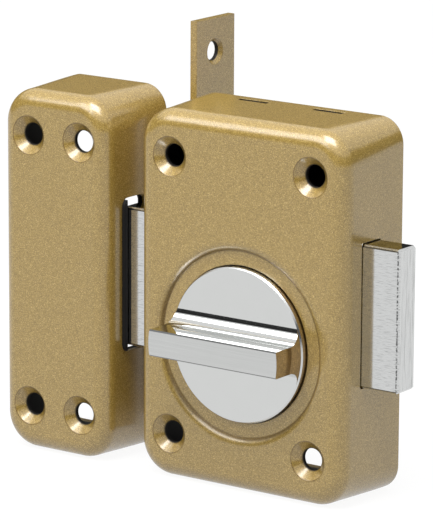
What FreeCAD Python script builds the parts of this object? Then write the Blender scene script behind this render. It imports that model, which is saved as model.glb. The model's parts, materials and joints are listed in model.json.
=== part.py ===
import FreeCAD, Part
import math
import os

# Rim deadbolt: a die-cast lock case with a thumb-turn and a through bolt, and its matching keep.
# Millimetres, +X to the right, +Z up. The case's back lies on Y = 0 and its front faces -Y.
# The origin is the centre of the case's back.

# Lock case
case_width = 70.0
case_height = 106.0
case_depth = 28.4
wall = 2.8
front_wall = 3.6
front_corner_radius = 10.5
rear_corner_radius = 7.5
edge_radius = 4.8
inner_edge_radius = 3.0
wall_draft = 0.3
overcut = 1.0
root_overlap = 0.5

# Screw holes of case and keep
screw_rows = 79.5
case_screw_columns = 47.3
screw_hole_radius = 3.1
screw_sink_radius = 5.75
screw_sink_rounding = 0.35
screw_sink_slope = math.radians(47.0)

# Keep
keep_gap = 10.7
keep_width = 38.0
keep_screw_columns = 18.0
keep_screw_margin = 9.8
keep_rib_thickness = 2.0
keep_rib_setback = 5.0
keep_rib_gap = 6.0

# Bolt
bolt_thickness = 8.6
bolt_height = 40.3
bolt_depth_in_case = 9.2
bolt_rise = 0.9
bolt_chamfer = 0.7
bolt_play = 0.3
bolt_corner_radius = 0.8

# Keep opening, measured round the bolt
keep_play_front = 1.5
keep_play_rear = 0.8
keep_play_top = 2.4
keep_play_bottom = 2.1
keep_opening_radius = 2.5

# Rack and pinion
gear_module = 0.75
pinion_teeth = 10
pressure_angle = math.radians(25.0)
addendum = 0.8 * gear_module
dedendum = 1.0 * gear_module
mesh_play = 0.2
window_end_play = 0.6
window_floor_play = 0.35
window_corner_radius = 1.2

# Thumb-turn
knob_drop = 10.6
knob_radius = 22.05
knob_proud = 0.6
knob_chamfer = 0.4
grip_height = 11.7
grip_thickness = 7.6
grip_root_radius = 4.6
grip_chamfer = 0.4
knob_boss_radius = 8.0
knob_boss_end = 8.1
socket_depth = 8.2
thread_depth = 5.0

# Recess that the thumb-turn sits in
recess_depth = 1.45
recess_rim_radius = 29.0
recess_rim_rounding = 3.0
recess_slope = math.radians(55.0)
well_depth = 1.0
well_play = 0.4
well_wall = 0.6
well_floor_thickness = 2.0

# Bush under the thumb-turn
bush_wall = 1.0
bush_flange_radius = 14.0
bush_flange_thickness = 0.5
running_play = 0.06
thrust_play = 0.1
bush_boss_wall = 3.5

# Pinion shaft
square_size = 5.0
square_end_play = 0.2
collar_radius = 7.0
collar_thickness = 0.8
journal_radius = 5.0
journal_play = 0.4
shaft_end_setback = 0.8
tail_slot_width = 2.4
tail_slot_length = 8.0
tail_slot_depth = 6.0

# Screw that clamps the shaft to the thumb-turn
knob_screw_radius = 1.5
knob_screw_play = 0.15
knob_screw_head_radius = 2.7
knob_screw_head_height = 2.0
head_pocket_play = 0.2
driver_slot_width = 0.8
driver_slot_depth = 0.9

# Back cover
cover_thickness = 1.5
cover_setback = 3.0
cover_play = 0.3
cover_bottom = -40.0
tab_centre = 12.65
tab_width = 9.3
tab_setback = 1.8
tab_root = 2.0
slot_play = 0.35

# Rear bush, spring washer and retaining ring on the shaft
rear_bush_wall = 1.5
rear_bush_flange = 3.5
rear_bush_flange_thickness = 1.2
washer_thickness = 0.35
washer_cone = 0.25
washer_width = 2.6
ring_thickness = 0.8
ring_groove_depth = 0.45
ring_width = 1.8
ring_gap_angle = 50.0
ring_ear_radius = 1.2
ring_eye_radius = 0.5
ring_play = 0.1

# Screws of the back cover, and the pillars they turn into
cover_screw_side_margin = 6.9
cover_screw_low_margin = 9.0
cover_screw_radius = 1.5
cover_screw_length = 8.0
cover_screw_head_radius = 2.8
cover_screw_head_height = 1.8
pillar_radius = 3.6

# Travel stop of the bolt
stop_pin_radius = 2.0
stop_pin_rise = 12.0
stop_pin_seat = 5.0
stop_pin_proud = 0.8
stop_slot_play = 0.3

# Guides inside the case, one at each side of the mechanism
guide_length = 6.0
guide_side_gap = 3.6
guide_wall = 3.4
guide_rib = 1.6
guide_rib_overhang = 1.0
guide_rib_reach = 12.0
seat_play = 0.1

# Brake on the bolt's top edge
shoe_length = 14.0
shoe_height = 4.0
post_radius = 2.2
shelf_thickness = 2.0
shelf_overhang = 2.5
shelf_reach = 15.5
spring_half_span = 12.0
spring_bow = 4.6
spring_thickness = 0.5
spring_width = 7.0

# Jamb angle
angle_thickness = 2.2
angle_gap = 0.5
angle_bend_radius = 1.0
angle_leg_overlap = 18.0
angle_leg_margin = 5.2
angle_relief_overlap = 5.5
angle_relief_margin = 8.5
angle_relief_corner = 4.0
flange_depth = 18.7
lug_setback = 0.5
lug_top = 72.4
lug_hole_drop = 9.65
lug_hole_depth = 9.4
lug_hole_spacing = 98.0
lug_hole_radius = 2.75
lug_sink_radius = 3.8

# Places worked out from the sizes above
front = -case_depth
half_width = case_width / 2
half_height = case_height / 2
bolt_front = front + bolt_depth_in_case
bolt_rear = bolt_front + bolt_thickness
bolt_top = bolt_rise + bolt_height / 2
bolt_bottom = bolt_rise - bolt_height / 2
pitch_radius = gear_module * pinion_teeth / 2
tip_radius = pitch_radius + addendum
root_radius = pitch_radius - dedendum
half_travel = math.pi * pitch_radius
bolt_half_length = half_width + half_travel
knob_z = -knob_drop
rack_pitch_line = knob_z + pitch_radius
rack_tips = rack_pitch_line - addendum
rack_roots = rack_pitch_line + dedendum
recess_floor = front + recess_depth
well_floor = recess_floor + well_depth
well_radius = knob_radius + well_play
pad_radius = well_radius + well_wall
pad_rear = well_floor + well_floor_thickness
knob_face = front - knob_proud
knob_back = well_floor - bush_flange_thickness - thrust_play
knob_bore_radius = knob_boss_radius + running_play + bush_wall
knob_boss_rear = front + knob_boss_end
front_inside = front + front_wall
keep_right = -half_width - keep_gap
keep_left = keep_right - keep_width
keep_middle = (keep_left + keep_right) / 2
keep_screw_right = keep_right - keep_screw_margin
keep_screw_middle = keep_screw_right - keep_screw_columns / 2
cover_rear = -cover_setback
cover_front = cover_rear - cover_thickness
shaft_rear = -shaft_end_setback
screw_seat = shaft_rear - tail_slot_depth - knob_screw_head_height
washer_front = cover_rear + ring_play
ring_front = washer_front + washer_thickness + washer_cone + ring_play
inside_half_width = half_width - wall
inside_half_height = half_height - wall
cover_screw_x = inside_half_width - cover_screw_side_margin
cover_screw_z = cover_bottom + cover_screw_low_margin
angle_leg_half_height = screw_rows / 2 + angle_leg_margin


def vec(x, y, z):
    return FreeCAD.Vector(x, y, z)


def block(x0, x1, y0, y1, z0, z1):
    return Part.makeBox(x1 - x0, y1 - y0, z1 - z0, vec(x0, y0, z0))


def rod(radius, y0, y1, x, z):
    return Part.makeCylinder(radius, y1 - y0, vec(x, y0, z), vec(0, 1, 0))


def edges_along(shape, axis):
    """The straight edges of a shape that run along one axis."""
    found = []
    for edge in shape.Edges:
        if len(edge.Vertexes) == 2 and isinstance(edge.Curve, Part.Line):
            direction = edge.Vertexes[1].Point - edge.Vertexes[0].Point
            if abs(abs(direction.normalize().dot(axis)) - 1) < 1e-6:
                found.append(edge)
    return found


def edges_at(shape, y):
    """The edges of a shape that lie in one plane across Y."""
    return [e for e in shape.Edges if all(abs(v.Point.y - y) < 1e-6 for v in e.Vertexes)
            and abs(e.BoundBox.YMax - y) < 1e-6 and abs(e.BoundBox.YMin - y) < 1e-6]


def rounded_block(x0, x1, y0, y1, z0, z1, radius, axis):
    body = block(x0, x1, y0, y1, z0, z1)
    return body.makeFillet(radius, edges_along(body, axis))


def wall_lean(y):
    """How far the drafted walls of a casting stand in from their place at the open back."""
    return -y / case_depth * wall_draft


def corner_radius(y):
    """The outside corner radius of a casting, which grows towards the front."""
    return rear_corner_radius - y / case_depth * (front_corner_radius - rear_corner_radius)


def drafted_block(x_middle, half_x, half_z, y0, y1, inset):
    """A block whose sides lean in towards the front. Its corner radii are the casting's less the inset."""
    front_x = half_x - wall_lean(y0)
    front_z = half_z - wall_lean(y0)
    rear_x = half_x - wall_lean(y1)
    rear_z = half_z - wall_lean(y1)
    body = Part.makeWedge(x_middle - front_x, y0, -front_z, -rear_z, x_middle - rear_x,
                          x_middle + front_x, y1, front_z, rear_z, x_middle + rear_x)
    corners = [e for e in body.Edges if e.BoundBox.YLength > (y1 - y0) / 2]
    return body.makeFillet(corner_radius(y0) - inset, corner_radius(y1) - inset, corners)


def prism(points, direction):
    """A straight prism on a closed outline."""
    outline = Part.makePolygon(points + [points[0]])
    return Part.Face(outline).extrude(direction)


def revolved(points, x, z):
    """A turned piece: points are radius and Y, turned about the line along Y through x and z."""
    outline = Part.makePolygon([vec(x + r, y, z) for r, y in points + [points[0]]])
    return Part.Face(outline).revolve(vec(x, 0, z), vec(0, 1, 0), 360)


def housing(x_middle, width):
    """A hollow casting, open at the back, with rounded corners and a rounded front."""
    outer = drafted_block(x_middle, width / 2, half_height, front, 0, 0)
    outer = outer.makeFillet(edge_radius, edges_at(outer, front))
    inner = drafted_block(x_middle, width / 2 - wall, inside_half_height, front_inside, overcut, wall)
    inner = inner.makeFillet(inner_edge_radius, edges_at(inner, front_inside))
    return outer.cut(inner)


def round_hollow(rim_radius, rounding, slope, depth, x, z):
    """The room of a round hollow in the front: a rounded rim, a sloping side and a flat floor."""
    side_radius = rim_radius - rounding * math.sin(slope)
    side_start = front + rounding * (1 - math.cos(slope))
    floor_radius = side_radius - (front + depth - side_start) / math.tan(slope)
    half_slope = slope / 2
    centre_line = [vec(x, front + depth, z), vec(x, front - overcut, z)]
    rim = vec(x + rim_radius, front, z)
    brow = vec(x + rim_radius - rounding * math.sin(half_slope),
               front + rounding * (1 - math.cos(half_slope)), z)
    side = vec(x + side_radius, side_start, z)
    floor_edge = vec(x + floor_radius, front + depth, z)
    outline = Part.Wire([Part.makeLine(centre_line[0], centre_line[1]),
                         Part.makeLine(centre_line[1], rim - vec(0, overcut, 0)),
                         Part.makeLine(rim - vec(0, overcut, 0), rim),
                         Part.Arc(rim, brow, side).toShape(),
                         Part.makeLine(side, floor_edge),
                         Part.makeLine(floor_edge, centre_line[0])])
    return Part.Face(outline).revolve(vec(x, 0, z), vec(0, 1, 0), 360)


def countersunk_hole(x, z):
    """The room of a countersunk screw in a front wall."""
    side_radius = screw_sink_radius - screw_sink_rounding * math.sin(screw_sink_slope)
    side_start = screw_sink_rounding * (1 - math.cos(screw_sink_slope))
    depth = side_start + (side_radius - screw_hole_radius) * math.tan(screw_sink_slope)
    sink = round_hollow(screw_sink_radius, screw_sink_rounding, screw_sink_slope, depth, x, z)
    return sink.fuse(rod(screw_hole_radius, front - overcut, front_inside + overcut, x, z))


def screw_pattern(x_middle, columns):
    holes = []
    for x in (x_middle - columns / 2, x_middle + columns / 2):
        for z in (-screw_rows / 2, screw_rows / 2):
            holes.append(countersunk_hole(x, z))
    return holes


def bolt_passage(x0, x1, play):
    """The room that the bolt needs in a wall or guide."""
    return rounded_block(x0, x1, bolt_front - play, bolt_rear + play, bolt_bottom - play,
                         bolt_top + play, bolt_corner_radius, vec(1, 0, 0))


def cover_slots():
    slots = []
    for side in (-1, 1):
        x = side * tab_centre
        reach = tab_width / 2 + slot_play
        slots.append(block(x - reach, x + reach, cover_front - slot_play, cover_rear + slot_play,
                           inside_half_height - overcut, half_height + overcut))
    return slots


def guide_span(side):
    """The near and far X of one bolt guide, in rising order."""
    outer = side * (inside_half_width - guide_side_gap)
    inner = outer - side * guide_length
    return min(inner, outer), max(inner, outer)


def guide_top():
    return bolt_top + bolt_play + guide_wall


def guide_bottom():
    return bolt_bottom - bolt_play - guide_wall


def shoe_bottom():
    return bolt_top + bolt_play


def shelf_bottom():
    return shoe_bottom() + shoe_height + seat_play + spring_thickness + spring_bow + seat_play


def cast_details():
    """Ribs, pillars, posts, the bush boss and the pad under the thumb-turn, cast inside the lock case."""
    root = front_inside - root_overlap
    details = [rod(knob_bore_radius + bush_boss_wall, root, knob_boss_rear, 0, knob_z),
               rod(pad_radius, root, pad_rear, 0, knob_z)]
    for side in (-1, 1):
        details.append(rod(pillar_radius, root, cover_front, side * cover_screw_x, cover_screw_z))
        x0, x1 = guide_span(side)
        x0 -= guide_rib_overhang
        x1 += guide_rib_overhang
        rib_end = front_inside + guide_rib_reach
        z_top = guide_top() + seat_play
        z_low = guide_bottom() - seat_play
        details.append(block(x0, x1, root, rib_end, z_top, z_top + guide_rib))
        details.append(block(x0, x1, root, rib_end, z_low - guide_rib, z_low))
        post_x = side * (shoe_length / 2 + seat_play + post_radius)
        details.append(rod(post_radius, root, bolt_rear, post_x, shoe_bottom() + shoe_height / 2))
    shelf = spring_half_span + shelf_overhang
    details.append(block(-shelf, shelf, root, front_inside + shelf_reach, shelf_bottom(),
                         shelf_bottom() + shelf_thickness))
    return details


def make_case_shell():
    shell = housing(0, case_width).fuse(cast_details())
    cuts = [round_hollow(recess_rim_radius, recess_rim_rounding, recess_slope, recess_depth, 0, knob_z),
            rod(well_radius, front - overcut, well_floor, 0, knob_z),
            rod(knob_bore_radius, well_floor - overcut, knob_boss_rear + overcut, 0, knob_z)]
    cuts += screw_pattern(0, case_screw_columns)
    cuts += cover_slots()
    cuts.append(bolt_passage(-half_width - overcut, -inside_half_width + overcut, bolt_play))
    cuts.append(bolt_passage(inside_half_width - overcut, half_width + overcut, bolt_play))
    for side in (-1, 1):
        cuts.append(rod(cover_screw_radius, cover_front - cover_screw_length, cover_front + overcut,
                        side * cover_screw_x, cover_screw_z))
    return shell.cut(cuts)


def make_back_cover():
    half = inside_half_width - cover_play
    top = inside_half_height - cover_play
    plate = rounded_block(-half, half, cover_front, cover_rear, cover_bottom, top,
                          rear_corner_radius - wall + cover_play, vec(0, 1, 0))
    tabs = []
    for side in (-1, 1):
        x = side * tab_centre
        tabs.append(block(x - tab_width / 2, x + tab_width / 2, cover_front, cover_rear,
                          top - tab_root, half_height - tab_setback))
    plate = plate.fuse(tabs)
    slot_half = stop_pin_radius + stop_slot_play
    stop_z = bolt_rise + stop_pin_rise
    cuts = [rod(journal_radius + running_play + rear_bush_wall, cover_front - overcut, cover_rear + overcut,
                0, knob_z),
            block(-half_travel, half_travel, cover_front - overcut, cover_rear + overcut,
                  stop_z - slot_half, stop_z + slot_half)]
    for end in (-half_travel, half_travel):
        cuts.append(rod(slot_half, cover_front - overcut, cover_rear + overcut, end, stop_z))
    for side in (-1, 1):
        cuts.append(rod(cover_screw_radius + seat_play, cover_front - overcut, cover_rear + overcut,
                        side * cover_screw_x, cover_screw_z))
    return plate.cut(cuts)


def make_cover_screws():
    screws = []
    for side in (-1, 1):
        x = side * cover_screw_x
        shank_start = cover_front - cover_screw_length + seat_play
        shank = rod(cover_screw_radius, shank_start, cover_rear, x, cover_screw_z)
        head_end = cover_rear + cover_screw_head_height
        head = rod(cover_screw_head_radius, cover_rear, head_end, x, cover_screw_z)
        head = head.makeFillet(cover_screw_head_height / 3, edges_at(head, head_end))
        slot = block(x - cover_screw_head_radius, x + cover_screw_head_radius,
                     head_end - driver_slot_depth, head_end + overcut,
                     cover_screw_z - driver_slot_width / 2, cover_screw_z + driver_slot_width / 2)
        screws.append(shank.fuse(head).cut(slot))
    return Part.makeCompound(screws)


def make_knob_bush():
    inner = knob_boss_radius + running_play
    lip = well_floor - bush_flange_thickness
    return revolved([(inner, lip), (bush_flange_radius, lip), (bush_flange_radius, well_floor),
                     (knob_bore_radius, well_floor), (knob_bore_radius, knob_boss_rear),
                     (inner, knob_boss_rear)], 0, knob_z)


def make_rear_bush():
    inner = journal_radius + running_play
    outer = inner + rear_bush_wall
    flange = inner + rear_bush_flange
    lip = cover_front - rear_bush_flange_thickness
    return revolved([(inner, lip), (flange, lip), (flange, cover_front), (outer, cover_front),
                     (outer, cover_rear), (inner, cover_rear)], 0, knob_z)


def make_bolt_guide(side):
    x0, x1 = guide_span(side)
    body = block(x0, x1, front_inside, cover_front, guide_bottom(), guide_top())
    pad_room = rod(pad_radius + seat_play, front_inside - overcut, pad_rear + seat_play, 0, knob_z)
    return body.cut([bolt_passage(x0 - overcut, x1 + overcut, bolt_play), pad_room])


def make_brake_shoe():
    base = shoe_bottom()
    return rounded_block(-shoe_length / 2, shoe_length / 2, bolt_front, bolt_rear, base,
                         base + shoe_height, bolt_corner_radius, vec(0, 1, 0))


def make_brake_spring():
    """A bowed leaf spring between the shoe and the shelf above it."""
    low = shoe_bottom() + shoe_height + seat_play

    def bow(drop, end_x):
        ends = low + spring_bow + drop
        return Part.Arc(vec(-end_x, bolt_front, ends), vec(0, bolt_front, low + drop),
                        vec(end_x, bolt_front, ends)).toShape()

    under = bow(0, spring_half_span)
    over = bow(spring_thickness, spring_half_span)
    left = Part.makeLine(under.Vertexes[0].Point, over.Vertexes[0].Point)
    right = Part.makeLine(under.Vertexes[-1].Point, over.Vertexes[-1].Point)
    section = Part.Face(Part.Wire([under, right, over, left]))
    inset = (bolt_thickness - spring_width) / 2
    section.translate(vec(0, inset, 0))
    return section.extrude(vec(0, spring_width, 0))


def make_keep_shell():
    """The keep: a hollow casting with the bolt's opening in the wall that faces the case."""
    ribs = []
    opening_top = bolt_top + keep_play_top
    opening_bottom = bolt_bottom - keep_play_bottom
    for z0 in (opening_top + keep_rib_gap, opening_bottom - keep_rib_gap - keep_rib_thickness):
        ribs.append(block(keep_left + wall / 2, keep_right - wall / 2, front_inside - root_overlap,
                          -keep_rib_setback, z0, z0 + keep_rib_thickness))
    shell = housing(keep_middle, keep_width).fuse(ribs)
    opening = rounded_block(keep_right - wall - overcut, keep_right + overcut, bolt_front - keep_play_front,
                            bolt_rear + keep_play_rear, opening_bottom, opening_top,
                            keep_opening_radius, vec(1, 0, 0))
    return shell.cut([opening] + screw_pattern(keep_screw_middle, keep_screw_columns))


def make_keep_angle():
    """A bent steel angle: a leg behind the keep, and a flange with a lug that stands above it.

    The leg is cut back behind the keep's pocket, so that the pocket stays open to the rear.
    """
    outer_x = -half_width - angle_gap
    inner_x = outer_x - angle_thickness
    leg_x = keep_right - angle_leg_overlap
    z0 = -angle_leg_half_height
    z1 = angle_leg_half_height
    leg = block(leg_x, outer_x, 0, angle_thickness, z0, z1)
    flange = block(inner_x, outer_x, 0, flange_depth, z0, z1)
    bent = leg.fuse(flange).removeSplitter()
    outside = [e for e in edges_along(bent, vec(0, 0, 1))
               if abs(e.BoundBox.XMax - outer_x) < 1e-6 and abs(e.BoundBox.YMax) < 1e-6]
    bent = bent.makeFillet(angle_bend_radius + angle_thickness - 0.01, outside)
    inside = [e for e in edges_along(bent, vec(0, 0, 1))
              if abs(e.BoundBox.XMax - inner_x) < 1e-6 and abs(e.BoundBox.YMax - angle_thickness) < 1e-6]
    bent = bent.makeFillet(angle_bend_radius, inside)
    lug = block(inner_x, outer_x, lug_setback, flange_depth, z1 - root_overlap, lug_top)
    bent = bent.fuse(lug).removeSplitter()
    relief_half = screw_rows / 2 - angle_relief_margin
    cuts = [rounded_block(leg_x - overcut - angle_relief_corner, keep_right - angle_relief_overlap, -overcut,
                          angle_thickness + overcut, -relief_half, relief_half, angle_relief_corner,
                          vec(0, 1, 0))]
    for z in (lug_top - lug_hole_drop, lug_top - lug_hole_drop - lug_hole_spacing):
        sink_depth = lug_sink_radius - lug_hole_radius
        cuts.append(Part.makeCylinder(lug_hole_radius, angle_thickness + 2 * overcut,
                                      vec(inner_x - overcut, lug_hole_depth, z), vec(1, 0, 0)))
        cuts.append(Part.makeCone(lug_hole_radius, lug_sink_radius, sink_depth,
                                  vec(outer_x - sink_depth, lug_hole_depth, z), vec(1, 0, 0)))
    for z in (-screw_rows / 2, screw_rows / 2):
        cuts.append(rod(screw_hole_radius, -overcut, angle_thickness + overcut, keep_screw_right, z))
    return bent.cut(cuts)


def make_knob():
    """Disc and grip milled from one round blank, with a boss and a square socket behind."""
    disc = rod(knob_radius, knob_face, knob_back, 0, knob_z)
    disc = disc.makeChamfer(knob_chamfer, edges_at(disc, knob_face))
    half = grip_thickness / 2
    top = knob_face - grip_height
    root_x = knob_radius + overcut
    profile = []
    for side in (-1, 1):
        foot = vec(-root_x, knob_face, knob_z + side * (half + grip_root_radius))
        bend = grip_root_radius * (1 - math.sqrt(0.5))
        middle = vec(-root_x, knob_face - bend, knob_z + side * (half + bend))
        head = vec(-root_x, knob_face - grip_root_radius, knob_z + side * half)
        shoulder = vec(-root_x, top + grip_chamfer, knob_z + side * half)
        brow = vec(-root_x, top, knob_z + side * (half - grip_chamfer))
        profile.append((foot, Part.Arc(foot, middle, head).toShape(), Part.makeLine(head, shoulder),
                        Part.makeLine(shoulder, brow), brow))
    low, high = profile
    seat = vec(0, bush_flange_thickness, 0)
    outline = Part.Wire([low[1], low[2], low[3], Part.makeLine(low[4], high[4]), high[3], high[2],
                         high[1], Part.makeLine(high[0], high[0] + seat),
                         Part.makeLine(high[0] + seat, low[0] + seat), Part.makeLine(low[0] + seat, low[0])])
    bar = Part.Face(outline).extrude(vec(2 * root_x, 0, 0))
    blank = rod(knob_radius - knob_chamfer, top, knob_face + bush_flange_thickness, 0, knob_z)
    boss = rod(knob_boss_radius, knob_back, knob_boss_rear, 0, knob_z)
    knob = disc.fuse([bar.common(blank), boss])
    half_square = square_size / 2
    socket = block(-half_square, half_square, knob_boss_rear - socket_depth, knob_boss_rear + overcut,
                   knob_z - half_square, knob_z + half_square)
    thread_start = knob_boss_rear - socket_depth - thread_depth
    thread = rod(knob_screw_radius, thread_start, knob_boss_rear, 0, knob_z)
    return knob.cut([socket, thread])


def involute(angle):
    return math.tan(angle) - angle


def pinion_section():
    """The outline of the pinion, with one tooth pointing straight up at the rack."""
    base_radius = pitch_radius * math.cos(pressure_angle)
    half_tooth = math.pi / (2 * pinion_teeth) - mesh_play / (4 * pitch_radius)
    steps = 4

    def point(radius, angle):
        return vec(radius * math.sin(angle), 0, knob_z + radius * math.cos(angle))

    def half_angle(radius):
        return half_tooth + involute(pressure_angle) - involute(math.acos(base_radius / radius))

    edges = []
    for tooth in range(pinion_teeth):
        middle = 2 * math.pi * tooth / pinion_teeth
        radii = [base_radius + (tip_radius - base_radius) * i / steps for i in range(steps + 1)]
        rising = [point(r, middle - half_angle(max(r, base_radius))) for r in radii]
        falling = [point(r, middle + half_angle(max(r, base_radius))) for r in reversed(radii)]
        foot = half_angle(base_radius)
        next_foot = middle + 2 * math.pi / pinion_teeth - foot
        for flank in (rising, falling):
            curve = Part.BSplineCurve()
            curve.interpolate(flank)
            edges.append(curve.toShape())
        edges.insert(-1, Part.makeLine(rising[-1], falling[0]))
        edges.insert(-3, Part.makeLine(point(root_radius, middle - foot), rising[0]))
        edges.append(Part.makeLine(falling[-1], point(root_radius, middle + foot)))
        edges.append(Part.Arc(point(root_radius, middle + foot),
                              point(root_radius, (middle + foot + next_foot) / 2),
                              point(root_radius, next_foot)).toShape())
    return Part.Face(Part.Wire(edges))


def make_pinion_shaft():
    """Square end, thrust collar, pinion and journal in one turned and hobbed piece."""
    half_square = square_size / 2
    square_start = knob_boss_rear - socket_depth + square_end_play
    square = block(-half_square, half_square, square_start, knob_boss_rear,
                   knob_z - half_square, knob_z + half_square)
    collar_end = knob_boss_rear + collar_thickness
    journal_start = bolt_rear + journal_play
    collar = rod(collar_radius, knob_boss_rear, collar_end, 0, knob_z)
    pinion = pinion_section()
    pinion.translate(vec(0, collar_end, 0))
    pinion = pinion.extrude(vec(0, journal_start - collar_end, 0))
    journal = rod(journal_radius, journal_start, shaft_rear, 0, knob_z)
    shaft = square.fuse([collar, pinion, journal])
    head_pocket = rod(knob_screw_head_radius + head_pocket_play, screw_seat, shaft_rear + overcut,
                      0, knob_z)
    screw_way = rod(knob_screw_radius + knob_screw_play, square_start - overcut, screw_seat + overcut,
                    0, knob_z)
    tail_slot = block(-tail_slot_length / 2, tail_slot_length / 2, shaft_rear - tail_slot_depth,
                      shaft_rear + overcut, knob_z - tail_slot_width / 2, knob_z + tail_slot_width / 2)
    groove = rod(journal_radius + overcut, ring_front, ring_front + ring_thickness, 0, knob_z)
    groove = groove.cut(rod(journal_radius - ring_groove_depth, ring_front - overcut,
                            ring_front + ring_thickness + overcut, 0, knob_z))
    return shaft.cut([head_pocket, screw_way, tail_slot, groove])


def make_knob_screw():
    head_end = screw_seat + knob_screw_head_height - seat_play
    start = knob_boss_rear - socket_depth - thread_depth + seat_play
    screw = rod(knob_screw_radius, start, screw_seat, 0, knob_z)
    screw = screw.fuse(rod(knob_screw_head_radius, screw_seat, head_end, 0, knob_z))
    slot = block(-knob_screw_head_radius, knob_screw_head_radius, head_end - driver_slot_depth,
                 head_end + overcut, knob_z - driver_slot_width / 2, knob_z + driver_slot_width / 2)
    return screw.cut(slot)


def make_spring_washer():
    """A coned spring washer between the rear bush and the retaining ring."""
    inner = journal_radius + seat_play
    outer = inner + washer_width
    near = washer_front
    return revolved([(inner, near + washer_cone), (outer, near), (outer, near + washer_thickness),
                     (inner, near + washer_cone + washer_thickness)], 0, knob_z)


def make_retaining_ring():
    """An open ring in the shaft's groove, with an ear and an eye at each end."""
    inner = journal_radius - ring_groove_depth
    outer = inner + ring_width
    y0 = ring_front
    y1 = ring_front + ring_thickness
    bore = rod(inner, y0 - overcut, y1 + overcut, 0, knob_z)
    ring = rod(outer, y0, y1, 0, knob_z).cut(bore)
    half_gap = math.radians(ring_gap_angle / 2)
    reach = 2 * outer
    gap = prism([vec(0, y0 - overcut, knob_z),
                 vec(-reach * math.sin(half_gap), y0 - overcut, knob_z - reach * math.cos(half_gap)),
                 vec(reach * math.sin(half_gap), y0 - overcut, knob_z - reach * math.cos(half_gap))],
                vec(0, ring_thickness + 2 * overcut, 0))
    ring = ring.cut(gap)
    ear_circle = inner + ring_width / 2 + ring_ear_radius / 2
    ear_angle = half_gap + ring_ear_radius / ear_circle
    for side in (-1, 1):
        x = side * ear_circle * math.sin(ear_angle)
        z = knob_z - ear_circle * math.cos(ear_angle)
        ear = rod(ring_ear_radius, y0, y1, x, z).cut(bore)
        ring = ring.fuse(ear).cut(rod(ring_eye_radius, y0 - overcut, y1 + overcut, x, z))
    return ring


def rack_spaces():
    """The tooth spaces of the rack, cut upwards from the window in the bolt."""
    pitch = math.pi * gear_module
    slope = math.tan(pressure_angle)
    middle_half = pitch / 4 + mesh_play / 4
    root_half = middle_half - dedendum * slope
    overrun = 0.2
    tip_half = middle_half + (addendum + overrun) * slope
    count = int((window_half_length() - window_corner_radius - tip_half) / pitch)
    spaces = []
    for i in range(-count, count + 1):
        x = i * pitch
        spaces.append(prism([vec(x - tip_half, bolt_front - overcut, rack_tips - overrun),
                             vec(x + tip_half, bolt_front - overcut, rack_tips - overrun),
                             vec(x + root_half, bolt_front - overcut, rack_roots),
                             vec(x - root_half, bolt_front - overcut, rack_roots)],
                            vec(0, bolt_thickness + 2 * overcut, 0)))
    return spaces


def window_half_length():
    return half_travel + tip_radius + window_end_play


def make_bolt():
    """A flat steel bar with a window for the pinion, and a rack along the window's upper side."""
    bar = block(-bolt_half_length, bolt_half_length, bolt_front, bolt_rear, bolt_bottom, bolt_top)
    bar = bar.makeChamfer(bolt_chamfer, bar.Edges)
    reach = window_half_length()
    window_floor = knob_z - tip_radius - window_floor_play
    window = rounded_block(-reach, reach, bolt_front - overcut, bolt_rear + overcut, window_floor, rack_tips,
                           window_corner_radius, vec(0, 1, 0))
    pin_seat = rod(stop_pin_radius, bolt_rear - stop_pin_seat, bolt_rear + overcut, 0,
                   bolt_rise + stop_pin_rise)
    return bar.cut([window, pin_seat] + rack_spaces())


def make_stop_pin():
    z = bolt_rise + stop_pin_rise
    end = cover_rear + stop_pin_proud
    pin = rod(stop_pin_radius, bolt_rear - stop_pin_seat, end, 0, z)
    return pin.makeChamfer(stop_pin_radius / 5, edges_at(pin, end))


pieces = {
    "case_shell": make_case_shell(),
    "back_cover": make_back_cover(),
    "cover_screws": make_cover_screws(),
    "knob_bush": make_knob_bush(),
    "rear_bush": make_rear_bush(),
    "bolt_guide_left": make_bolt_guide(-1),
    "bolt_guide_right": make_bolt_guide(1),
    "brake_shoe": make_brake_shoe(),
    "brake_spring": make_brake_spring(),
    "keep_shell": make_keep_shell(),
    "keep_angle": make_keep_angle(),
    "knob": make_knob(),
    "pinion_shaft": make_pinion_shaft(),
    "knob_screw": make_knob_screw(),
    "spring_washer": make_spring_washer(),
    "retaining_ring": make_retaining_ring(),
    "bolt": make_bolt(),
    "bolt_stop_pin": make_stop_pin(),
}

os.makedirs("parts", exist_ok=True)
for name, shape in pieces.items():
    shape.exportStep("parts/" + name + ".step")
    print(name, "solids", len(shape.Solids), "valid", shape.isValid(), "volume", round(shape.Volume, 1))
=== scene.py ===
"""Looks of a rim deadbolt: its case, keep, thumb-turn and bolt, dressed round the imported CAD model."""

import json
import math

import bmesh
import bpy
from mathutils import Matrix, Vector


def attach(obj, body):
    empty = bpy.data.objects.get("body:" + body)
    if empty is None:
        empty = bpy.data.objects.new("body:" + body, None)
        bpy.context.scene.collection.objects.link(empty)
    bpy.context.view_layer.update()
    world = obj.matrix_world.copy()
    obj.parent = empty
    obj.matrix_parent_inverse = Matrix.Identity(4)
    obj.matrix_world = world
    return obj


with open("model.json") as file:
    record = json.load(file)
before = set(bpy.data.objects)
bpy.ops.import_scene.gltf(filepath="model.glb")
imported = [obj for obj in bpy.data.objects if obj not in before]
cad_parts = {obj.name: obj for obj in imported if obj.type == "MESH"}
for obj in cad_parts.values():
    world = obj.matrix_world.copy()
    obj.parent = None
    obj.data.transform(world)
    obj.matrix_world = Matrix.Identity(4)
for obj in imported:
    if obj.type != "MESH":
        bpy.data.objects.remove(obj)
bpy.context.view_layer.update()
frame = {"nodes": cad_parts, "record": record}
nodes = frame["nodes"]
scene = bpy.context.scene

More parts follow.
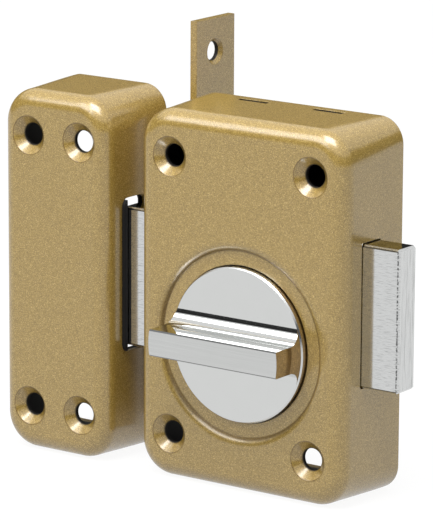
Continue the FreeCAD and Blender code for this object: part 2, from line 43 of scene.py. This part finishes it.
# Camera: measured from the screw holes, bolt ends and outlines in the photograph
AZIMUTH = math.radians(35.79)
ELEVATION = math.radians(13.049)
ROLL = math.radians(0.305)
DISTANCE = 1.0864
AIM = Vector((-0.013451, -0.020, 0.010058))
LENS = 269.39

# Places on the part, in metres: the front of case and keep, their side walls, screws, slots and lug holes
FRONT_Y = -0.0284
CASE_HALF_X = 0.0350
CASE_HALF_Z = 0.0530
KEEP_X = -0.0647
KEEP_HALF_X = 0.0190
CORNER = 0.0105
CASE_SCREWS = (0.02365, 0.03975)
KEEP_SCREWS_X = -0.0645
KEEP_SCREWS = (0.0090, 0.03975)
SLOT_Y = (-0.00490, -0.00260)
LUG_X = -0.0355
LUG_HOLE_Y = 0.0094
LUG_HOLES_Z = (0.06275, -0.03525)
LUG_HOLE_RADIUS = 0.00275

# Places on the thumb-turn and the bolt
KNOB_FACE_Y = -0.0290
KNOB_Z = -0.0106
GRIP_FRONT_Y = -0.0407
GRIP_Y = (KNOB_FACE_Y - 0.0050, KNOB_FACE_Y - 0.0056)
GRIP_EDGE_Y = (GRIP_FRONT_Y + 0.0006, GRIP_FRONT_Y + 0.0005)
DISC_RIM_Y = (KNOB_FACE_Y - 0.0003, KNOB_FACE_Y)
BOLT_FRONT_Y = -0.0192
BOLT_EDGE_Y = (BOLT_FRONT_Y + 0.00035, BOLT_FRONT_Y + 0.00030)

# Where the paint ends and the bare casting is coloured near-black as painted shade: inside the walls, behind
# the front, near the open back and just inside a slot
BARE_SHADE_WALLS = (-0.0011, -0.0014)
BARE_SHADE_FRONT_Y = (FRONT_Y + 0.0022, FRONT_Y + 0.0026)
BARE_SHADE_BACK_Y = (-0.0005, -0.0040)
BARE_SHADE_SLOT = (-0.00015, -0.00030)
BORDER = 0.0001

# Painted shade in the creases: dark rings round each countersink and at the foot of the recess's rim
CREASE_SHADE_Y = (FRONT_Y + 0.0022, FRONT_Y + 0.0018)
SINK_SHADE = (0.00560, 0.00020)
RECESS_SHADE = (0.02675, 0.00070)
CREASE_SHADE_SHARE = 0.55
CREASE_SHADE_UNCOATED = 0.5

# Colours
FLAKE_COLOURS = ((0.0, (0.195, 0.119, 0.017)), (0.25, (0.350, 0.225, 0.039)),
                 (0.75, (0.422, 0.277, 0.055)), (1.0, (0.69, 0.49, 0.155)))
# Dark brown of the painted shade in the creases
CREASE_SHADE_COLOUR = (0.085, 0.042, 0.008)
# Near-black painted shade for the bare casting in the hollows, slots and lug bores
SHADED_CASTING_COLOUR = (0.016, 0.014, 0.012)
NICKEL_COLOUR = (0.775, 0.785, 0.775)
# Warm brown tint on the knob's sideways faces: a painted reflection of the paint
NICKEL_END_REFLECTION_COLOUR = (0.68, 0.60, 0.54)
BOLT_COLOUR = (0.765, 0.775, 0.77)
ZINC_COLOUR = (0.60, 0.615, 0.63)
STEEL_COLOUR = (0.56, 0.56, 0.57)
BLUED_COLOUR = (0.20, 0.21, 0.25)
BRASS_COLOUR = (0.76, 0.56, 0.24)
# Black of the strip that stands in the keep's opening as painted shade
SHADE_STRIP_COLOUR = (0.012, 0.012, 0.013)
NYLON_COLOUR = (0.72, 0.71, 0.66)
FLOOR_COLOUR = (0.46, 0.46, 0.45, 1.0)

# Grain of the surfaces, in metres
FLAKE = 0.00016
ORANGE_PEEL = (0.0012, 0.000010)
PAINT_GRAIN = (0.00028, 0.000008)
SOFT_EDGE = 0.00030
GRIP_STREAK = (0.030, 0.00026, 0.00026)
STREAK_DEPTH = (0.0000001, 0.0000012)
LEVEL_SCRATCH = (0.0028, 0.0028, 0.00014)
LEVEL_DEPTH = 0.0000012
UPRIGHT_SCRATCH = (0.00034, 0.00034, 0.0080)
UPRIGHT_DEPTH = 0.0000010
TURNING = (0.0004, 0.00012, 0.0004)
TURNING_DEPTH = 0.000004

# How far a surface faces the front (-1 is straight to the front), or how far it faces along another axis
FACING_FRONT = (-0.95, -0.99)
FACING_PAST_SIDE = (-0.35, -0.50)
FACING_BESIDE_FRONT = (-0.95, -0.85)
FACING_SIDE = (-0.60, -0.45)
FACING_OFF_FRONT = (-0.995, -0.97)
FACING_GRIP_END = (0.45, 0.65)
FACING_BOLT_END = (0.80, 0.95)
FACING_EDGE = (0.30, 0.50)
FACING_BELOW_TOP = (0.95, 0.85)

# The bolt's opening in the keep, and the black strip that fills it in front of the bolt, put there as
# painted shade
OPENING_FRONT_Y = -0.0207
OPENING_Z = (-0.02135, 0.02345)
OPENING_CORNER = 0.0025
STRIP_THICKNESS = 0.00135
STRIP_X = (-0.0510, -0.0448)
STRIP_EDGE = 0.00015
STRIP_TURNS = 6
SHARP_EDGE = math.radians(30.0)

# Studio
FLOOR_Z = -0.053
FLOOR_HALF = 4.0
BACKGROUND_SHARE = 0.80
SEEN_FLOOR = 1.16
REFLECTED_FLOOR = 0.83
SKY_DARK = 0.03
SKY_LIGHT = 1.05
SKY_EDGE = (0.38, 0.43)
LIGHTS = (("key", (-0.27, -0.54, 0.60), (0.62, 0.42), 2.8),
          ("overhead", (0.10, -0.28, 0.78), (0.46, 0.46), 5.2))


class Surface:
    """A material under construction: a Principled shader and the nodes that feed it."""

    def __init__(self, name):
        self.material = bpy.data.materials.new(name)
        self.material.use_nodes = True
        self.tree = self.material.node_tree
        self.shader = self.tree.nodes["Principled BSDF"]
        self.place = self.add("ShaderNodeTexCoord").outputs["Object"]

    def add(self, kind, **inputs):
        node = self.tree.nodes.new(kind)
        for name, value in inputs.items():
            self.feed(node.inputs[name.replace("_", " ")], value)
        return node

    def feed(self, socket, value):
        if isinstance(value, bpy.types.NodeSocket):
            self.tree.links.new(value, socket)
        else:
            socket.default_value = value

    def set(self, **inputs):
        for name, value in inputs.items():
            self.feed(self.shader.inputs[name.replace("_", " ")], value)

    def math(self, operation, a, b=0.0, c=0.0, clamp=False):
        node = self.add("ShaderNodeMath")
        node.operation = operation
        node.use_clamp = clamp
        for socket, value in zip(node.inputs, (a, b, c)):
            self.feed(socket, value)
        return node.outputs[0]

    def product(self, first, *others):
        for factor in others:
            first = self.math("MULTIPLY", first, factor)
        return first

    def axes(self):
        node = self.add("ShaderNodeSeparateXYZ", Vector=self.place)
        return node.outputs["X"], node.outputs["Y"], node.outputs["Z"]

    def facing(self):
        """The way that the surface faces, in the part's own axes."""
        normal = self.add("ShaderNodeTexCoord").outputs["Normal"]
        node = self.add("ShaderNodeSeparateXYZ", Vector=normal)
        return node.outputs["X"], node.outputs["Y"], node.outputs["Z"]

    def stretched(self, sizes):
        """The place in the part, divided by a grain size in metres for each axis."""
        node = self.add("ShaderNodeVectorMath")
        node.operation = "DIVIDE"
        self.feed(node.inputs[0], self.place)
        self.feed(node.inputs[1], sizes)
        return node.outputs[0]

    def noise(self, sizes, detail=2.0, roughness=0.5):
        if isinstance(sizes, float):
            sizes = (sizes,) * 3
        node = self.add("ShaderNodeTexNoise", Vector=self.stretched(sizes), Scale=1.0, Detail=detail,
                        Roughness=roughness)
        return node.outputs["Fac"]

    def cells(self, size):
        node = self.add("ShaderNodeTexVoronoi", Vector=self.stretched((size,) * 3), Scale=1.0)
        return node.outputs["Color"]

    def ramp(self, factor, stops):
        node = self.add("ShaderNodeValToRGB", Fac=factor)
        line = node.color_ramp
        while len(line.elements) < len(stops):
            line.elements.new(0.5)
        for element, (position, colour) in zip(line.elements, stops):
            element.position = position
            element.color = (*colour, 1.0)
        return node.outputs["Color"]

    def spread(self, factor, low, high):
        """A 0 to 1 factor turned into the range from low to high."""
        node = self.add("ShaderNodeMapRange", Value=factor)
        self.feed(node.inputs["To Min"], low)
        self.feed(node.inputs["To Max"], high)
        return node.outputs["Result"]

    def bump(self, height, depth, normal=None):
        node = self.add("ShaderNodeBump", Height=height, Distance=depth, Strength=1.0)
        if normal is not None:
            self.feed(node.inputs["Normal"], normal)
        return node.outputs["Normal"]

    def first(self, colour):
        node = self.add("ShaderNodeSeparateColor", Color=colour)
        return node.outputs[0]

    def times(self, colour, factor):
        """A colour made lighter or darker by a factor."""
        node = self.add("ShaderNodeVectorMath")
        node.operation = "SCALE"
        self.feed(node.inputs[0], colour)
        self.feed(node.inputs["Scale"], factor)
        return node.outputs[0]

    def step(self, value, start, end):
        """A factor that goes from 0 to 1 while the value goes from start to end."""
        node = self.add("ShaderNodeMapRange", Value=value)
        self.feed(node.inputs["From Min"], start)
        self.feed(node.inputs["From Max"], end)
        return node.outputs["Result"]

    def mix(self, factor, a, b):
        node = self.add("ShaderNodeMix")
        node.data_type = "RGBA"
        for socket, value in ((node.inputs["Factor"], factor), (node.inputs[6], a), (node.inputs[7], b)):
            self.feed(socket, value if isinstance(value, (float, bpy.types.NodeSocket)) else (*value, 1.0))
        return node.outputs[2]

    def soft_edges(self, radius):
        """The surface's normal, rounded over sharp edges."""
        node = self.add("ShaderNodeBevel", Radius=radius)
        node.samples = 6
        return node.outputs["Normal"]

    def distance(self, a, b, a_centre, b_centre):
        """How far two coordinates lie from a centre."""
        squares = [self.math("POWER", self.math("SUBTRACT", value, centre), 2.0)
                   for value, centre in ((a, a_centre), (b, b_centre))]
        return self.math("SQRT", self.math("ADD", *squares))

    def ring(self, radius, middle, width):
        """1 on a ring whose middle lies at a given radius, 0 beyond its half width."""
        off = self.math("ABSOLUTE", self.math("SUBTRACT", radius, middle))
        return self.step(off, width, width / 3)

    def inset(self, x, z, x_middle, half_x, half_z, radius):
        """Distance from the side walls of a block with rounded corners, below 0 inside them."""
        past = []
        for value, middle, half in ((x, x_middle, half_x), (z, 0.0, half_z)):
            away = self.math("ABSOLUTE", self.math("SUBTRACT", value, middle))
            past.append(self.math("SUBTRACT", away, half - radius))
        corner = [self.math("MAXIMUM", value, 0.0) for value in past]
        reach = self.distance(*corner, 0.0, 0.0)
        inner = self.math("MINIMUM", self.math("MAXIMUM", past[0], past[1]), 0.0)
        return self.math("SUBTRACT", self.math("ADD", reach, inner), radius)


def bare_shaded_casting(s, x, y, z):
    """1 where no paint reaches and the bare casting is coloured near-black as painted shade: inside the
    castings, in the slots and in the bores of the lug.
    """
    walls = s.math("MINIMUM", s.inset(x, z, 0.0, CASE_HALF_X, CASE_HALF_Z, CORNER),
                   s.inset(x, z, KEEP_X, KEEP_HALF_X, CASE_HALF_Z, CORNER))
    bare_shade = s.product(s.step(walls, *BARE_SHADE_WALLS), s.step(y, *BARE_SHADE_FRONT_Y), s.step(y, *BARE_SHADE_BACK_Y))
    slots = s.product(s.step(y, SLOT_Y[0] - BORDER, SLOT_Y[0]), s.step(y, SLOT_Y[1] + BORDER, SLOT_Y[1]),
                      s.step(walls, *BARE_SHADE_SLOT))
    bare_shade = s.math("MAXIMUM", bare_shade, slots)
    for hole_z in LUG_HOLES_Z:
        off = s.distance(y, z, LUG_HOLE_Y, hole_z)
        bore = s.product(s.step(off, LUG_HOLE_RADIUS + BORDER, LUG_HOLE_RADIUS),
                         s.step(x, LUG_X + BORDER, LUG_X))
        bare_shade = s.math("MAXIMUM", bare_shade, bore)
    return bare_shade


def crease_shade_rings(s, x, y, z):
    """1 in the rings of painted shade round the countersinks and at the foot of the recess's rim."""
    beyond = s.math("ABSOLUTE", z)
    beside = s.math("ABSOLUTE", s.math("SUBTRACT", x, KEEP_SCREWS_X))
    sinks = s.math("MINIMUM", s.distance(s.math("ABSOLUTE", x), beyond, *CASE_SCREWS),
                   s.distance(beside, beyond, *KEEP_SCREWS))
    rings = s.math("MAXIMUM", s.ring(sinks, *SINK_SHADE),
                   s.ring(s.distance(x, z, 0.0, KNOB_Z), *RECESS_SHADE))
    return s.product(rings, s.step(y, *CREASE_SHADE_Y))


def bronze_paint():
    """Stoved metallic bronze paint: fine flakes under a half-gloss top coat; the bare casting inside is
    coloured near-black as painted shade, and dark rings of painted shade lie in the creases.
    """
    s = Surface("bronze_paint")
    place = s.axes()
    bare_shade = bare_shaded_casting(s, *place)
    crease_shade = crease_shade_rings(s, *place)
    fleck = s.ramp(s.first(s.cells(FLAKE)), FLAKE_COLOURS)
    cloud = s.spread(s.noise(0.018, 3.0), 0.97, 1.03)
    mottle = s.spread(s.noise(0.0007, 2.0), 0.98, 1.02)
    # Painted shade: a dark ring in each crease, where half the top coat is also taken off
    paint = s.mix(s.product(crease_shade, CREASE_SHADE_SHARE), fleck, CREASE_SHADE_COLOUR)
    # Painted shade: near-black on the bare casting inside, in the slots and in the lug bores
    colour = s.mix(bare_shade, s.times(paint, s.product(cloud, mottle)), SHADED_CASTING_COLOUR)
    uncoated = s.math("MAXIMUM", bare_shade, s.product(crease_shade, CREASE_SHADE_UNCOATED))
    peel = s.bump(s.noise(ORANGE_PEEL[0], 2.0), ORANGE_PEEL[1], s.soft_edges(SOFT_EDGE))
    grain = s.bump(s.noise(PAINT_GRAIN[0], 1.0), PAINT_GRAIN[1], peel)
    s.set(Base_Color=colour, Metallic=0.20, Roughness=s.spread(bare_shade, 0.48, 0.75), Coat_Roughness=0.21,
          Coat_Weight=s.spread(uncoated, 1.0, 0.0), Coat_IOR=1.85, Normal=grain, Coat_Normal=peel)
    return s.material


def polished_nickel():
    """Nickel plate: a mirror on the disc, finely brushed along the grip; a dark line along the grip's front
    edges and a warm brown tint on the knob's sideways faces are painted reflections.
    """
    s = Surface("polished_nickel")
    y = s.axes()[1]
    across, forward, _ = s.facing()
    front = s.product(s.step(y, *GRIP_Y), s.step(forward, *FACING_FRONT))
    # Painted reflection: a dark line along the grip's front edges
    dark_reflection_edge = s.product(s.step(y, *GRIP_EDGE_Y), s.step(forward, *FACING_PAST_SIDE),
                     s.step(forward, *FACING_BESIDE_FRONT))
    # Painted reflection: the faces turned sideways, the grip's ends and the disc's side, tinted warm brown
    # and darkened
    reflecting_ends = s.product(s.step(s.math("ABSOLUTE", across), *FACING_GRIP_END), s.step(forward, *FACING_SIDE))
    rim = s.product(s.step(forward, *FACING_OFF_FRONT), s.step(y, *DISC_RIM_Y))
    streak = s.noise(GRIP_STREAK, 3.0, 0.65)
    haze = s.noise(0.006, 2.0)
    tone = s.product(s.spread(s.product(front, streak), 0.97, 0.80), s.spread(haze, 0.985, 1.015),
                     s.spread(dark_reflection_edge, 1.0, 0.30), s.spread(s.product(reflecting_ends, haze), 1.0, 0.75))
    colour = s.times(s.mix(reflecting_ends, NICKEL_COLOUR, NICKEL_END_REFLECTION_COLOUR), tone)
    rough = s.math("ADD", s.spread(front, 0.035, 0.15), s.spread(streak, -0.01, 0.02))
    rough = s.math("ADD", rough, s.spread(rim, 0.0, 0.20))
    s.set(Base_Color=colour, Metallic=1.0, Roughness=rough,
          Normal=s.bump(streak, s.spread(front, *STREAK_DEPTH)))
    return s.material


def ground_nickel():
    """The bolt: ground steel under nickel, scratched level on its sides and upright on its ends."""
    s = Surface("ground_nickel")
    near_front = s.step(s.axes()[1], *BOLT_EDGE_Y)
    across, _, up = s.facing()
    sideways = s.math("ABSOLUTE", across)
    tilt = s.math("ABSOLUTE", up)
    end = s.step(sideways, *FACING_BOLT_END)
    flank = s.math("SUBTRACT", 1.0, end)
    level = s.noise(LEVEL_SCRATCH, 2.0, 0.6)
    upright = s.noise(UPRIGHT_SCRATCH, 2.0, 0.6)
    haze = s.noise(0.004, 3.0)
    scratch = s.math("ADD", s.product(s.step(level, 0.52, 0.70), flank),
                     s.product(s.step(upright, 0.48, 0.70), s.product(end, 0.8)))
    # Darker lines along the edges nearest the bolt's front, patchy on the upright edges
    upright_edge = s.product(s.step(sideways, *FACING_EDGE), flank, near_front,
                             s.step(s.noise(0.0006, 2.0), 0.40, 0.56))
    level_edge = s.product(s.step(tilt, *FACING_EDGE), s.step(tilt, *FACING_BELOW_TOP), near_front)
    darker_front_edges = s.math("MAXIMUM", upright_edge, level_edge)
    tone = s.product(s.spread(scratch, 1.0, 0.62), s.spread(haze, 0.96, 1.03), s.spread(darker_front_edges, 1.0, 0.22),
                     s.spread(end, 0.97, 1.02))
    rough = s.math("ADD", s.spread(level, 0.05, 0.13), s.spread(end, 0.0, 0.08))
    s.set(Base_Color=s.times(BOLT_COLOUR, tone), Metallic=1.0, Roughness=rough,
          Normal=s.bump(level, LEVEL_DEPTH, s.bump(upright, UPRIGHT_DEPTH)))
    return s.material


def zinc_plate():
    """Bright zinc plate with the faint crystals of rolled, plated sheet."""
    s = Surface("zinc_plate")
    crystal = s.first(s.cells(0.0011))
    cloud = s.noise(0.012, 4.0)
    tone = s.product(s.spread(crystal, 0.92, 1.04), s.spread(cloud, 0.86, 1.08))
    s.set(Base_Color=s.times(ZINC_COLOUR, tone), Metallic=1.0, Roughness=s.spread(cloud, 0.26, 0.42),
          Normal=s.bump(s.noise(0.0006, 2.0), 0.000006))
    return s.material


def turned_metal(name, colour, rough):
    """A turned or rolled metal with fine rings of tool marks round the Y axis."""
    s = Surface(name)
    rings = s.noise(TURNING, 2.0)
    cloud = s.noise(0.003, 3.0)
    s.set(Base_Color=s.times(colour, s.spread(cloud, 0.88, 1.08)), Metallic=1.0,
          Roughness=s.spread(rings, rough - 0.06, rough + 0.08), Normal=s.bump(rings, TURNING_DEPTH))
    return s.material


def shade_strip_rubber():
    """Dull black rubber, for the strip of painted shade in the keep's opening."""
    s = Surface("shade_strip_rubber")
    cloud = s.noise(0.003, 3.0)
    s.set(Base_Color=s.times(SHADE_STRIP_COLOUR, s.spread(cloud, 0.8, 1.25)), Specular_IOR_Level=0.3,
          Roughness=s.spread(cloud, 0.55, 0.75), Normal=s.bump(s.noise(0.0002, 2.0), 0.000010))
    return s.material


def moulded_nylon():
    """Natural nylon, slightly see-through to light at its surface."""
    s = Surface("moulded_nylon")
    cloud = s.noise(0.004, 3.0)
    s.set(Base_Color=s.times(NYLON_COLOUR, s.spread(cloud, 0.93, 1.04)), Subsurface_Weight=0.08,
          Subsurface_Scale=0.002, Roughness=s.spread(cloud, 0.45, 0.58),
          Normal=s.bump(s.noise(0.0003, 2.0), 0.000010))
    return s.material


finishes = {
    "bronze_paint": bronze_paint(),
    "polished_nickel": polished_nickel(),
    "nickel_plated_steel": ground_nickel(),
    "zinc_plated_steel": zinc_plate(),
    "bright_steel": turned_metal("turned_steel", STEEL_COLOUR, 0.24),
    "spring_steel": turned_metal("blued_steel", BLUED_COLOUR, 0.34),
    "brass": turned_metal("turned_brass", BRASS_COLOUR, 0.26),
    "nylon": moulded_nylon(),
}
for subpart in frame["record"]["subparts"]:
    for slot in nodes[subpart["node"]].material_slots:
        slot.material = finishes[subpart["material_slot"]]


def make_shade_strip():
    """A black strip of painted shade that fills the keep's opening in front of the bolt, rounded as the
    opening is.
    """
    low, high = OPENING_Z
    rear = OPENING_FRONT_Y + STRIP_THICKNESS
    reach = math.acos(1.0 - STRIP_THICKNESS / OPENING_CORNER)
    outline = []
    for end, centre in ((-1, low + OPENING_CORNER), (1, high - OPENING_CORNER)):
        angles = [reach * i / STRIP_TURNS for i in range(STRIP_TURNS + 1)]
        arc = [(OPENING_FRONT_Y + OPENING_CORNER * (1.0 - math.cos(a)),
                centre + end * OPENING_CORNER * math.sin(a)) for a in angles]
        outline += arc[::-1] if end < 0 else arc
    mesh = bmesh.new()
    rings = [[mesh.verts.new((x, y, z)) for y, z in outline] for x in STRIP_X]
    count = len(outline)
    for i in range(count):
        mesh.faces.new((rings[0][i], rings[0][(i + 1) % count], rings[1][(i + 1) % count], rings[1][i]))
    mesh.faces.new(rings[0][::-1])
    mesh.faces.new(rings[1])
    bmesh.ops.recalc_face_normals(mesh, faces=mesh.faces)
    long_edges = [e for e in mesh.edges if e.calc_face_angle() > SHARP_EDGE]
    bmesh.ops.bevel(mesh, geom=long_edges, offset=STRIP_EDGE, segments=2, affect="EDGES")
    data = bpy.data.meshes.new("shade_strip")
    mesh.to_mesh(data)
    mesh.free()
    strip = bpy.data.objects.new("shade_strip", data)
    scene.collection.objects.link(strip)
    data.materials.append(shade_strip_rubber())
    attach(strip, "case_and_keep")


def link_value(tree, value, socket):
    if isinstance(value, bpy.types.NodeSocket):
        tree.links.new(value, socket)
    else:
        socket.default_value = value


def calculate(tree, operation, a, b):
    node = tree.nodes.new("ShaderNodeMath")
    node.operation = operation
    link_value(tree, a, node.inputs[0])
    link_value(tree, b, node.inputs[1])
    return node.outputs[0]


def make_floor():
    """A plain white floor: it keeps a faint shadow, and shows as white to the camera."""
    mesh = bpy.data.meshes.new("floor")
    r = FLOOR_HALF
    corners = [(-r, -r, FLOOR_Z), (r, -r, FLOOR_Z), (r, r, FLOOR_Z), (-r, r, FLOOR_Z)]
    mesh.from_pydata(corners, [], [(0, 1, 2, 3)])
    floor = bpy.data.objects.new("floor", mesh)
    scene.collection.objects.link(floor)
    material = bpy.data.materials.new("floor_white")
    material.use_nodes = True
    tree = material.node_tree
    tree.nodes.clear()
    rays = tree.nodes.new("ShaderNodeLightPath")
    mirror = calculate(tree, "MAXIMUM", rays.outputs["Is Glossy Ray"], rays.outputs["Is Transmission Ray"])
    seen = calculate(tree, "MULTIPLY", rays.outputs["Is Camera Ray"], BACKGROUND_SHARE)
    share = calculate(tree, "MAXIMUM", seen, mirror)
    dimmed = calculate(tree, "MULTIPLY", mirror, SEEN_FLOOR - REFLECTED_FLOOR)
    strength = calculate(tree, "SUBTRACT", SEEN_FLOOR, dimmed)
    glow = tree.nodes.new("ShaderNodeEmission")
    tree.links.new(strength, glow.inputs["Strength"])
    matt = tree.nodes.new("ShaderNodeBsdfDiffuse")
    matt.inputs["Color"].default_value = FLOOR_COLOUR
    blend = tree.nodes.new("ShaderNodeMixShader")
    tree.links.new(share, blend.inputs[0])
    tree.links.new(matt.outputs[0], blend.inputs[1])
    tree.links.new(glow.outputs[0], blend.inputs[2])
    out = tree.nodes.new("ShaderNodeOutputMaterial")
    tree.links.new(blend.outputs[0], out.inputs["Surface"])
    mesh.materials.append(material)


def make_sky():
    """White above, dark near the level of the eye, as in a studio with a wide light overhead."""
    world = bpy.data.worlds.new("studio")
    world.use_nodes = True
    tree = world.node_tree
    tree.nodes.clear()
    direction = tree.nodes.new("ShaderNodeTexCoord").outputs["Generated"]
    parts = tree.nodes.new("ShaderNodeSeparateXYZ")
    tree.links.new(direction, parts.inputs[0])
    rise = tree.nodes.new("ShaderNodeMapRange")
    tree.links.new(parts.outputs["Z"], rise.inputs["Value"])
    for name, value in (("From Min", SKY_EDGE[0]), ("From Max", SKY_EDGE[1]), ("To Min", SKY_DARK),
                        ("To Max", SKY_LIGHT)):
        rise.inputs[name].default_value = value
    rays = tree.nodes.new("ShaderNodeLightPath")
    strength = calculate(tree, "MAXIMUM", rays.outputs["Is Camera Ray"], rise.outputs["Result"])
    background = tree.nodes.new("ShaderNodeBackground")
    tree.links.new(strength, background.inputs["Strength"])
    out = tree.nodes.new("ShaderNodeOutputWorld")
    tree.links.new(background.outputs[0], out.inputs["Surface"])
    scene.world = world


def make_light(name, location, size, watts):
    """A soft box that points at the middle of the case."""
    data = bpy.data.lights.new(name, "AREA")
    data.shape = "RECTANGLE"
    data.size, data.size_y = size
    data.energy = watts
    light = bpy.data.objects.new(name, data)
    light.location = location
    light.rotation_mode = "QUATERNION"
    light.rotation_quaternion = (-Vector(location)).to_track_quat("-Z", "Y")
    scene.collection.objects.link(light)


def make_camera():
    data = bpy.data.cameras.new("camera")
    data.lens = LENS
    data.sensor_width = 36.0
    data.clip_start = 0.05
    data.clip_end = 50.0
    camera = bpy.data.objects.new("camera", data)
    forward = Vector((-math.sin(AZIMUTH) * math.cos(ELEVATION), math.cos(AZIMUTH) * math.cos(ELEVATION),
                      -math.sin(ELEVATION)))
    place = Matrix.Translation(AIM - forward * DISTANCE)
    turn = forward.to_track_quat("-Z", "Y").to_matrix().to_4x4()
    camera.matrix_world = place @ turn @ Matrix.Rotation(ROLL, 4, "Z")
    scene.collection.objects.link(camera)
    scene.camera = camera


make_shade_strip()
make_floor()
make_sky()
for light in LIGHTS:
    make_light(*light)
make_camera()
scene.view_settings.view_transform = "Standard"
